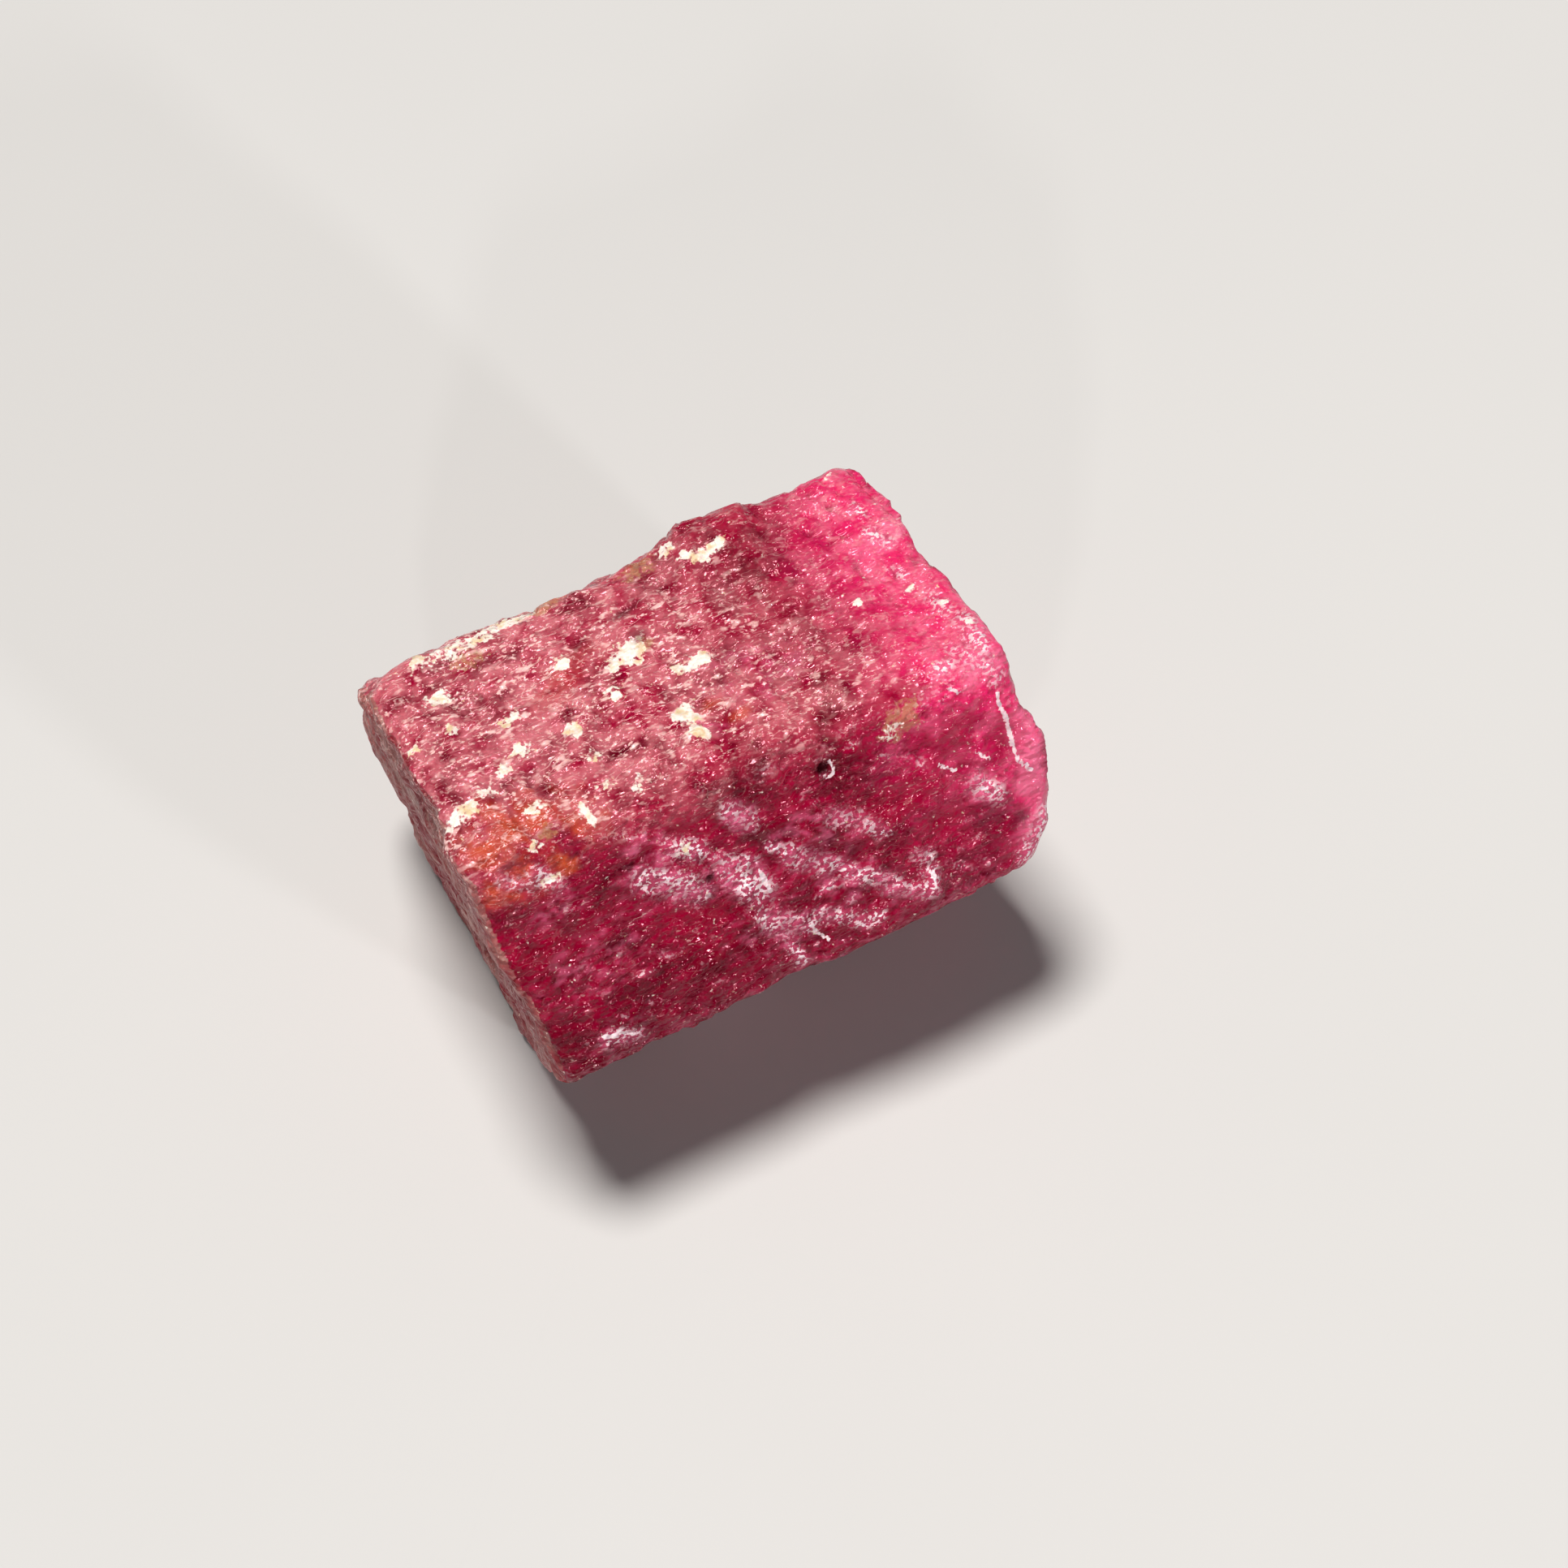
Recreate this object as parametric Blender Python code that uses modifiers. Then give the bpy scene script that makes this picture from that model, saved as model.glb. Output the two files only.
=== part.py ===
"""A rough ruby crystal: one worn six-sided prism of corundum, lying on a prism face.

Metres, +Z up. +X runs along the crystal's length, from its parted end to its chipped tip.
The crystal stands on its lower prism face, and the origin is under the middle of its box.
"""

import math
from typing import NamedTuple

import bmesh
import bpy
from mathutils import Vector, noise

MM = 0.001

# Driving dimensions
AXIS_HEIGHT = 5.98 * MM  # the crystal's long axis above its resting face
EDGE_WEAR = 0.36 * MM  # width of the worn strip along each edge
BLANK_SIZE = 40.0 * MM  # the block that the faces are cut from
SAME_PLACE = 0.0001 * MM  # a point this near to a cut lies on it
GRID = 0.20 * MM  # spacing of the points that the relief is carved on
SMOOTHING_ROUNDS = 2  # takes the grid's steps off the slanting edges
TRIANGLES = 9600  # what the carved surface is thinned to


class PrismFace(NamedTuple):
    """A face that runs along the crystal."""

    name: str
    turn: float  # degrees about +X, from straight up towards the front
    taper: float  # degrees that the face leans in towards the tip
    reach: float  # distance from the long axis


class EndFace(NamedTuple):
    """A face across the crystal, at one end."""

    name: str
    side: int  # -1 for the parted end, 1 for the tip
    rise: float  # degrees that the face looks up
    swing: float  # degrees that the face looks towards the back
    reach: float  # distance from the middle, along the face's normal


class Chip(NamedTuple):
    """A flat flake off the corner or edge that stands out furthest one way."""

    name: str
    outward: tuple
    depth: float


PRISM_FACES = (
    PrismFace("top", -2.2, 2.8, 6.02 * MM),
    PrismFace("front", 59.9, -0.7, 6.08 * MM),
    PrismFace("front_under", 127.5, -0.2, 5.28 * MM),
    PrismFace("resting", 180.0, 0.0, 5.98 * MM),
    PrismFace("back_under", 241.2, 2.6, 6.38 * MM),
    PrismFace("back", 295.9, -0.3, 6.13 * MM),
)
END_FACES = (
    EndFace("parting", -1, -7.6, 1.9, 7.78 * MM),
    EndFace("tip", 1, 0.5, 4.0, 6.90 * MM),
)
CHIPS = (
    Chip("tip_front_flake", (0.80, -0.44, 0.40), 0.26 * MM),
    Chip("tip_lower_corner", (0.68, -0.71, -0.18), 0.92 * MM),
    Chip("tip_lower_rounding", (0.88, -0.46, -0.10), 0.16 * MM),
    Chip("tip_under_flake", (0.72, -0.30, -0.62), 0.55 * MM),
    Chip("tip_top_flake", (0.72, 0.18, 0.67), 0.30 * MM),
    Chip("tip_back_corner", (0.70, 0.66, 0.28), 0.28 * MM),
    Chip("tip_back_flake", (0.62, 0.71, -0.33), 0.75 * MM),
    Chip("parted_top_corner", (-0.62, 0.55, 0.56), 0.42 * MM),
    Chip("parted_back_corner", (-0.67, 0.72, 0.12), 0.26 * MM),
    Chip("parted_front_corner", (-0.62, -0.78, -0.10), 0.34 * MM),
    Chip("parted_ridge_corner", (-0.70, -0.50, 0.51), 0.22 * MM),
    Chip("parted_under_corner", (-0.60, 0.42, -0.68), 0.55 * MM),
    Chip("worn_front_ridge", (0.02, -0.48, 0.88), 0.22 * MM),
    Chip("worn_back_ridge", (0.02, 0.55, 0.84), 0.12 * MM),
    Chip("worn_front_brow", (0.0, -0.99, -0.07), 0.08 * MM),
    Chip("worn_back_brow", (0.02, 0.99, -0.02), 0.14 * MM),
)

# Relief, as heights and spacings over the surface
LUMP_SIZE = 3.1 * MM
LUMP_HEIGHT = 0.13 * MM
DIMPLE_SIZE = 1.35 * MM
DIMPLE_HEIGHT = 0.06 * MM
DIMPLE_PLACE = Vector((7.3, 1.9, 4.1))  # where in the noise the dimples are read
SHARD_SIZE = 1.9 * MM  # the flat breaks that the surface is made of
SHARD_HEIGHT = 0.10 * MM
SHARD_SHUFFLE = 7.7  # sets which way each break is tilted
LEDGE_SPACING = 1.60 * MM
LEDGE_HEIGHT = 0.21 * MM
LEDGE_DROP = 0.14  # share of the spacing in which a ledge falls away
LEDGE_ACROSS = Vector((0.80, 0.30, 0.52)).normalized()
LEDGE_WANDER = 0.8  # how far a ledge's line strays, in spacings
LEDGE_BEND = 2.9 * MM  # size of the bends in a ledge's line
LEDGE_BEND_PLACE = Vector((2.2, 8.4, 5.5))
LEDGE_PATCH = 4.2 * MM  # size of the patches that show ledges
LEDGE_PATCH_EDGE = 2.2  # how sharply a patch of ledges ends
LEDGE_PATCH_PLACE = Vector((4.0, 3.0, 9.0))
RELIEF_FADE = 1.0 * MM  # height over the resting face by which the relief is whole
RESTING_CUT = 0.06 * MM  # taken off below, to leave one flat resting face


class Swell(NamedTuple):
    """A rounded swell, or where its height is below zero, the hollow that a flake left."""

    centre: tuple  # millimetres, from the axis' middle over the resting face
    radius: float
    height: float


SWELLS = (
    Swell((-6.6, 2.6, 12.3), 1.4 * MM, -0.16 * MM),
    Swell((2.0, 4.3, 11.7), 2.6 * MM, 0.32 * MM),
    Swell((-2.4, 4.6, 11.4), 1.3 * MM, -0.10 * MM),
    Swell((5.2, -0.2, 11.8), 1.6 * MM, -0.14 * MM),
    Swell((0.4, -5.6, 8.6), 1.6 * MM, -0.20 * MM),
    Swell((4.4, -5.9, 8.0), 1.3 * MM, -0.20 * MM),
    Swell((3.0, -6.4, 6.9), 1.2 * MM, 0.16 * MM),
    Swell((-4.8, -5.2, 9.1), 1.6 * MM, -0.16 * MM),
    Swell((7.0, -4.9, 9.2), 1.3 * MM, 0.14 * MM),
    Swell((-3.0, 6.9, 7.2), 1.8 * MM, -0.28 * MM),
    Swell((3.8, 6.7, 4.4), 1.6 * MM, -0.26 * MM),
    Swell((2.0, -5.6, 4.2), 1.7 * MM, -0.24 * MM),
    Swell((6.9, 2.0, 6.4), 2.2 * MM, -0.30 * MM),
    Swell((-7.6, -2.0, 6.0), 2.0 * MM, -0.22 * MM),
)


def clear_scene():
    """Removes every object that the scene starts with."""
    for obj in list(bpy.data.objects):
        bpy.data.objects.remove(obj)


def prism_normal(face):
    """The outward normal of a face along the crystal."""
    turn, taper = math.radians(face.turn), math.radians(face.taper)
    return Vector(
        (
            math.sin(taper),
            -math.cos(taper) * math.sin(turn),
            math.cos(taper) * math.cos(turn),
        )
    )


def end_normal(face):
    """The outward normal of a face across the crystal."""
    rise, swing = math.radians(face.rise), math.radians(face.swing)
    return Vector(
        (
            face.side * math.cos(rise) * math.cos(swing),
            math.cos(rise) * math.sin(swing),
            math.sin(rise),
        )
    )


def cut_flat(bm, point, normal):
    """Takes off what stands beyond a plane, and closes the cut with one face."""
    geometry = bm.verts[:] + bm.edges[:] + bm.faces[:]
    bmesh.ops.bisect_plane(
        bm,
        geom=geometry,
        dist=SAME_PLACE,
        plane_co=point,
        plane_no=normal,
        clear_outer=True,
    )
    rim = [edge for edge in bm.edges if edge.is_boundary]
    bmesh.ops.holes_fill(bm, edges=rim, sides=0)


def cut_chip(bm, chip):
    """Takes a chip's depth off whatever stands out furthest in its direction."""
    normal = Vector(chip.outward).normalized()
    furthest = max(vert.co.dot(normal) for vert in bm.verts)
    cut_flat(bm, normal * (furthest - chip.depth), normal)


def prism_blank(core):
    """The flat-faced crystal with its chipped corners and worn edges, as a bmesh."""
    bm = bmesh.new()
    bmesh.ops.create_cube(bm, size=BLANK_SIZE)
    for face in PRISM_FACES:
        normal = prism_normal(face)
        cut_flat(bm, core + normal * face.reach, normal)
    for face in END_FACES:
        normal = end_normal(face)
        cut_flat(bm, core + normal * face.reach, normal)
    for chip in CHIPS:
        cut_chip(bm, chip)
    bmesh.ops.bevel(
        bm,
        geom=bm.edges[:],
        offset=EDGE_WEAR,
        affect="EDGES",
        segments=2,
        profile=0.5,
        material=-1,
        clamp_overlap=True,
    )
    bmesh.ops.recalc_face_normals(bm, faces=bm.faces[:])
    return bm


def shaped_by(mesh, kind, **settings):
    """The mesh that one modifier makes of another mesh, which is removed."""
    holder = bpy.data.objects.new(mesh.name, mesh)
    bpy.context.scene.collection.objects.link(holder)
    modifier = holder.modifiers.new(kind.lower(), kind)
    for setting, value in settings.items():
        setattr(modifier, setting, value)
    graph = bpy.context.evaluated_depsgraph_get()
    shaped = bpy.data.meshes.new_from_object(holder.evaluated_get(graph))
    bpy.data.objects.remove(holder)
    bpy.data.meshes.remove(mesh)
    return shaped


def evened(bm):
    """The same shape with its surface in small even squares, as a new bmesh."""
    blank = bpy.data.meshes.new("blank")
    bm.to_mesh(blank)
    bm.free()
    even = bmesh.new()
    even.from_mesh(shaped_by(blank, "REMESH", mode="VOXEL", voxel_size=GRID))
    for _ in range(SMOOTHING_ROUNDS):
        bmesh.ops.smooth_vert(
            even,
            verts=even.verts[:],
            factor=0.5,
            use_axis_x=True,
            use_axis_y=True,
            use_axis_z=True,
        )
    return even


def thinned(bm):
    """The carved surface in fewer triangles, small where it bends most."""
    carved = bpy.data.meshes.new("carved")
    bmesh.ops.triangulate(bm, faces=bm.faces[:])
    share = TRIANGLES / len(bm.faces)
    bm.to_mesh(carved)
    bm.free()
    thin = bmesh.new()
    thin.from_mesh(shaped_by(carved, "DECIMATE", decimate_type="COLLAPSE", ratio=share))
    return thin


def lumps(point):
    """Height of the broad undulation and the smaller dimples."""
    broad = noise.noise(point / LUMP_SIZE)
    small = noise.noise(point / DIMPLE_SIZE + DIMPLE_PLACE)
    return LUMP_HEIGHT * broad + DIMPLE_HEIGHT * small


def shards(point):
    """Height of the flat breaks, each tilted its own way."""
    place = point / SHARD_SIZE
    middle = noise.voronoi(place)[1][0]
    lean = 2 * noise.cell_vector(middle * SHARD_SHUFFLE) - Vector((1.0, 1.0, 1.0))
    return SHARD_HEIGHT * (place - middle).dot(lean)


def ledges(point):
    """Height of the parting ledges: each rises slowly and then drops."""
    bend = noise.noise(point / LEDGE_BEND + LEDGE_BEND_PLACE)
    along = point.dot(LEDGE_ACROSS) / LEDGE_SPACING + LEDGE_WANDER * bend
    rise = along - math.floor(along)
    if rise > 1.0 - LEDGE_DROP:
        rise = (1.0 - rise) * (1.0 - LEDGE_DROP) / LEDGE_DROP
    patch = noise.noise(point / LEDGE_PATCH + LEDGE_PATCH_PLACE)
    shown = min(1.0, max(0.0, 0.5 + LEDGE_PATCH_EDGE * patch))
    return LEDGE_HEIGHT * shown * (rise - 0.5)


def swells(point):
    """Height of the rounded swells and hollows at a point."""
    height = 0.0
    for swell in SWELLS:
        distance = (point - Vector(swell.centre) * MM).length / swell.radius
        if distance < 1.0:
            height += swell.height * (1.0 - distance * distance) ** 2
    return height


def carve_relief(bm):
    """Moves each point out or in by the relief there."""
    bm.normal_update()
    moves = []
    for vert in bm.verts:
        height = sum(form(vert.co) for form in (lumps, shards, ledges, swells))
        shown = min(1.0, max(0.0, vert.co.z / RELIEF_FADE))
        moves.append((vert, vert.normal * height * shown))
    for vert, move in moves:
        vert.co += move


def stand_on_origin(bm):
    """Puts the flat resting face on Z 0, with the box's middle over the origin."""
    low = Vector(min(vert.co[axis] for vert in bm.verts) for axis in range(3))
    high = Vector(max(vert.co[axis] for vert in bm.verts) for axis in range(3))
    middle = (low + high) / 2
    shift = Vector((-middle.x, -middle.y, -low.z))
    bmesh.ops.translate(bm, verts=bm.verts[:], vec=shift)


def ruby_material():
    """Deep crimson with a waxy gloss."""
    material = bpy.data.materials.new("rough_ruby")
    material.use_nodes = True
    shader = material.node_tree.nodes["Principled BSDF"]
    shader.inputs["Base Color"].default_value = (0.42, 0.012, 0.065, 1.0)
    shader.inputs["Roughness"].default_value = 0.42
    shader.inputs["Metallic"].default_value = 0.0
    shader.inputs["IOR"].default_value = 1.77
    return material


def build_crystal(collection):
    """Makes the one solid of the crystal."""
    bm = evened(prism_blank(Vector((0.0, 0.0, AXIS_HEIGHT))))
    carve_relief(bm)
    bm = thinned(bm)
    cut_flat(bm, Vector((0.0, 0.0, RESTING_CUT)), Vector((0.0, 0.0, -1.0)))
    stand_on_origin(bm)
    bmesh.ops.recalc_face_normals(bm, faces=bm.faces[:])
    mesh = bpy.data.meshes.new("ruby_crystal")
    bm.to_mesh(mesh)
    bm.free()
    mesh.shade_smooth()
    mesh.materials.append(ruby_material())
    crystal = bpy.data.objects.new("ruby_crystal", mesh)
    collection.objects.link(crystal)
    return crystal


def main():
    clear_scene()
    collection = bpy.data.collections.new("ruby_crystal")
    bpy.context.scene.collection.children.link(collection)
    build_crystal(collection)


main()
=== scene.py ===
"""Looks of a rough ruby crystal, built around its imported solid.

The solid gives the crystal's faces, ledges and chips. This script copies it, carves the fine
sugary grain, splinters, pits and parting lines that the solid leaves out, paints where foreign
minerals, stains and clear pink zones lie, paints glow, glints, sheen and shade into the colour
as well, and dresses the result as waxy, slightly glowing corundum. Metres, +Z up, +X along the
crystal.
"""

import logging
import math
from dataclasses import dataclass, field
from enum import Enum

import bmesh
import bpy
import numpy as np
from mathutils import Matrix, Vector, noise
from mathutils.bvhtree import BVHTree

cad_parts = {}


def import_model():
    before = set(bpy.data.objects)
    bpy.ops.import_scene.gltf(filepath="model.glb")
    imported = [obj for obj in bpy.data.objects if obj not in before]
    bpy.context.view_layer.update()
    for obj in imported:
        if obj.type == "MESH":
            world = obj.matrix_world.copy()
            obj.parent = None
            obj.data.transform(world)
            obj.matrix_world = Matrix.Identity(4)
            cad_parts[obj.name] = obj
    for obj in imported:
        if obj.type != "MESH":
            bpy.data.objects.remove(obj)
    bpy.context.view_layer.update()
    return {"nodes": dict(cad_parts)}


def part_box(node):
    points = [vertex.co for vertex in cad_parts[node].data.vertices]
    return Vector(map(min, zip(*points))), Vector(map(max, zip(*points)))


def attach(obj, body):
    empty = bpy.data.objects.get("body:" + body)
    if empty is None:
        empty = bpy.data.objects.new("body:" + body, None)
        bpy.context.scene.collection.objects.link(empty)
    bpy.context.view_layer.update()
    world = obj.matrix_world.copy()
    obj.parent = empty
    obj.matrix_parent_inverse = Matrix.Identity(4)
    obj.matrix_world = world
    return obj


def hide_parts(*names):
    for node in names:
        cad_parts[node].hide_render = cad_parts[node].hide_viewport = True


MM = 0.001
SOLID = "ruby_crystal"
BODY = "root"

log = logging.getLogger("ruby_crystal")


def smooth_step(value: np.ndarray, start: float, end: float) -> np.ndarray:
    """A soft change from 0 to 1.

    Args:
        value: What the change follows.
        start: Where the result is 0.
        end: Where the result is 1. It may be lower than start.

    Returns:
        The result for each value.
    """
    share = np.clip((value - start) / (end - start), 0.0, 1.0)
    return share * share * (3.0 - 2.0 * share)


def noise_at(points: np.ndarray, sizes: tuple[float, float, float], place: float) -> np.ndarray:
    """Smooth noise from about -1 to 1 at each point.

    Args:
        points: The points, in metres.
        sizes: The size of the noise's lumps along X, Y and Z.
        place: Which part of the endless noise is read.

    Returns:
        One value for each point.
    """
    scaled = points / np.array(sizes) + place
    return np.array([noise.noise(point) for point in scaled.tolist()])


@dataclass(frozen=True)
class PictureCamera:
    """The camera, standing where the photograph was taken from."""

    elevation: float = 58.0
    azimuth: float = -29.0
    distance: float = 110.0 * MM
    target: tuple[float, float, float] = (2.327 * MM, -1.176 * MM, 5.820 * MM)
    width_at_target: float = 43.47 * MM
    sensor_width: float = 36.0
    picture_side: float = 1932.0

    def back(self) -> Vector:
        """The direction from the target to the camera.

        Returns:
            A direction of length 1.
        """
        turn, rise = math.radians(self.azimuth), math.radians(self.elevation)
        return Vector(
            (
                math.sin(turn) * math.cos(rise),
                -math.cos(turn) * math.cos(rise),
                math.sin(rise),
            )
        )

    def place(self) -> Vector:
        """Where the camera stands."""
        return Vector(self.target) + self.back() * self.distance

    def sight(self, across: float, down: float) -> Vector:
        """The direction that one spot of the picture looks along.

        Args:
            across: Pixels from the picture's left side.
            down: Pixels from the picture's top.

        Returns:
            A direction of length 1.
        """
        turned = (-self.back()).to_track_quat("-Z", "Y")
        pixel = self.width_at_target / self.picture_side
        half = self.picture_side / 2
        local = Vector(((across - half) * pixel, (half - down) * pixel, -self.distance))
        return (turned @ local).normalized()

    def build(self) -> bpy.types.Object:
        """Makes the camera and lets the scene use it.

        Returns:
            The camera.
        """
        data = bpy.data.cameras.new("picture_camera")
        data.sensor_width = self.sensor_width
        data.lens = self.sensor_width * self.distance / self.width_at_target
        data.clip_start = self.distance * 0.01
        data.clip_end = self.distance * 100.0
        camera = bpy.data.objects.new("picture_camera", data)
        camera.location = self.place()
        camera.rotation_euler = (-self.back()).to_track_quat("-Z", "Y").to_euler()
        bpy.context.scene.collection.objects.link(camera)
        bpy.context.scene.camera = camera
        return camera


@dataclass(frozen=True)
class Softbox:
    """One square studio light that faces the crystal."""

    name: str
    place: tuple[float, float, float]
    side: float
    watts: float
    tint: tuple[float, float, float] = (1.0, 1.0, 1.0)

    def build(self, target: Vector) -> None:
        """Makes the light and turns it to the target.

        Args:
            target: The point that it faces.
        """
        data = bpy.data.lights.new(self.name, "AREA")
        data.shape = "SQUARE"
        data.size = self.side
        data.energy = self.watts
        data.color = self.tint
        light = bpy.data.objects.new(self.name, data)
        light.location = Vector(self.place)
        light.rotation_euler = (target - light.location).to_track_quat("-Z", "Y").to_euler()
        bpy.context.scene.collection.objects.link(light)


@dataclass(frozen=True)
class FarLight:
    """The main soft light, so far away that it lights the whole floor alike."""

    name: str = "overhead_light"
    place: tuple[float, float, float] = (-0.020, 0.050, 0.250)
    spread: float = 17.0
    strength: float = 3.25
    tint: tuple[float, float, float] = (1.0, 0.98, 0.95)

    def build(self) -> None:
        """Makes the light and turns it from its place to the floor's middle."""
        data = bpy.data.lights.new(self.name, "SUN")
        data.angle = math.radians(self.spread)
        data.energy = self.strength
        data.color = self.tint
        light = bpy.data.objects.new(self.name, data)
        light.location = Vector(self.place)
        light.rotation_euler = (-light.location).to_track_quat("-Z", "Y").to_euler()
        bpy.context.scene.collection.objects.link(light)


@dataclass
class Studio:
    """The floor, the lights and the light of the room."""

    floor_side: float = 12.0
    floor_tint: tuple[float, float, float, float] = (0.58, 0.57, 0.56, 1.0)
    floor_mottle: float = 0.03
    floor_roughness: float = 0.75
    room_tint: tuple[float, float, float, float] = (0.92, 0.95, 1.0, 1.0)
    room_strength: float = 0.05
    overhead: FarLight = FarLight()
    boxes: tuple[Softbox, ...] = (
        Softbox("front_softbox", (0.078, -0.280, 0.100), 0.021, 0.20, (0.97, 0.98, 1.0)),
        Softbox("left_softbox", (-0.15, -0.22, 0.13), 0.018, 0.10),
    )

    def floor_finish(self) -> bpy.types.Material:
        """A pale, matt studio floor with a trace of mottle.

        Returns:
            The floor's material.
        """
        material = bpy.data.materials.new("pale_floor")
        material.use_nodes = True
        sheet = NodeSheet(material.node_tree)
        shader = material.node_tree.nodes["Principled BSDF"]
        place = sheet.add("ShaderNodeTexCoord").outputs["Object"]
        mottle = sheet.noise(place, 60.0, 3.0)
        low = tuple((1.0 - self.floor_mottle) * value for value in self.floor_tint[:3]) + (1.0,)
        sheet.join(sheet.blend(mottle, low, self.floor_tint), shader.inputs["Base Color"])
        shader.inputs["Roughness"].default_value = self.floor_roughness
        return material

    def build(self) -> bpy.types.Object:
        """Makes the floor, the lights and the room's light.

        Returns:
            The floor.
        """
        bm = bmesh.new()
        bmesh.ops.create_grid(bm, x_segments=1, y_segments=1, size=self.floor_side / 2)
        mesh = bpy.data.meshes.new("studio_floor")
        bm.to_mesh(mesh)
        bm.free()
        mesh.materials.append(self.floor_finish())
        floor = bpy.data.objects.new("studio_floor", mesh)
        bpy.context.scene.collection.objects.link(floor)
        self.overhead.build()
        low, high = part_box(SOLID)
        for box in self.boxes:
            box.build((low + high) / 2)
        world = bpy.data.worlds.new("studio_room")
        world.use_nodes = True
        background = world.node_tree.nodes["Background"]
        background.inputs["Color"].default_value = self.room_tint
        background.inputs["Strength"].default_value = self.room_strength
        bpy.context.scene.world = world
        return floor


class Layer(Enum):
    """What is painted on the surface, point by point, painted light and shade among it."""

    CREAM = "cream_mineral"
    OLIVE = "olive_mineral"
    STAIN = "orange_stain"
    HAZE = "lilac_haze"
    # Clear pink, painted brighter on the tip as a painted glow of light shining through it.
    GLOW = "clear_pink_and_painted_glow"
    # Dark spots and pits; dark inside pits partly as painted shade.
    DARK = "dark_spot_and_pit_shade"
    DEEP = "clear_crimson"
    # Painted shade in hollows, along steps and on the lower front, and darker patches along the
    # top left edge.
    LOW = "painted_shade_and_dark_patches"
    # Crushed crystals, and painted highlights on the front's slopes that face up.
    WORN_AND_GLINT = "crushed_edge_and_glint"
    # White lines, and a painted highlight on one side of a pit's rim.
    VEIN_AND_GLINT = "white_line_and_glint"
    PARTED = "parted_end"
    # Dusty rose on the top face, partly a painted sheen where light falls on the top.
    ROSE = "rose_veil_and_sheen"


@dataclass(frozen=True)
class Cloud:
    """Cloudy noise, and the soft change that is made of it."""

    per_metre: float
    detail: float
    start: float
    end: float


@dataclass(frozen=True)
class Spots:
    """Small spots on the surface, with their sizes in millimetres."""

    along: float
    side: float
    level: float
    edge: float


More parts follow.
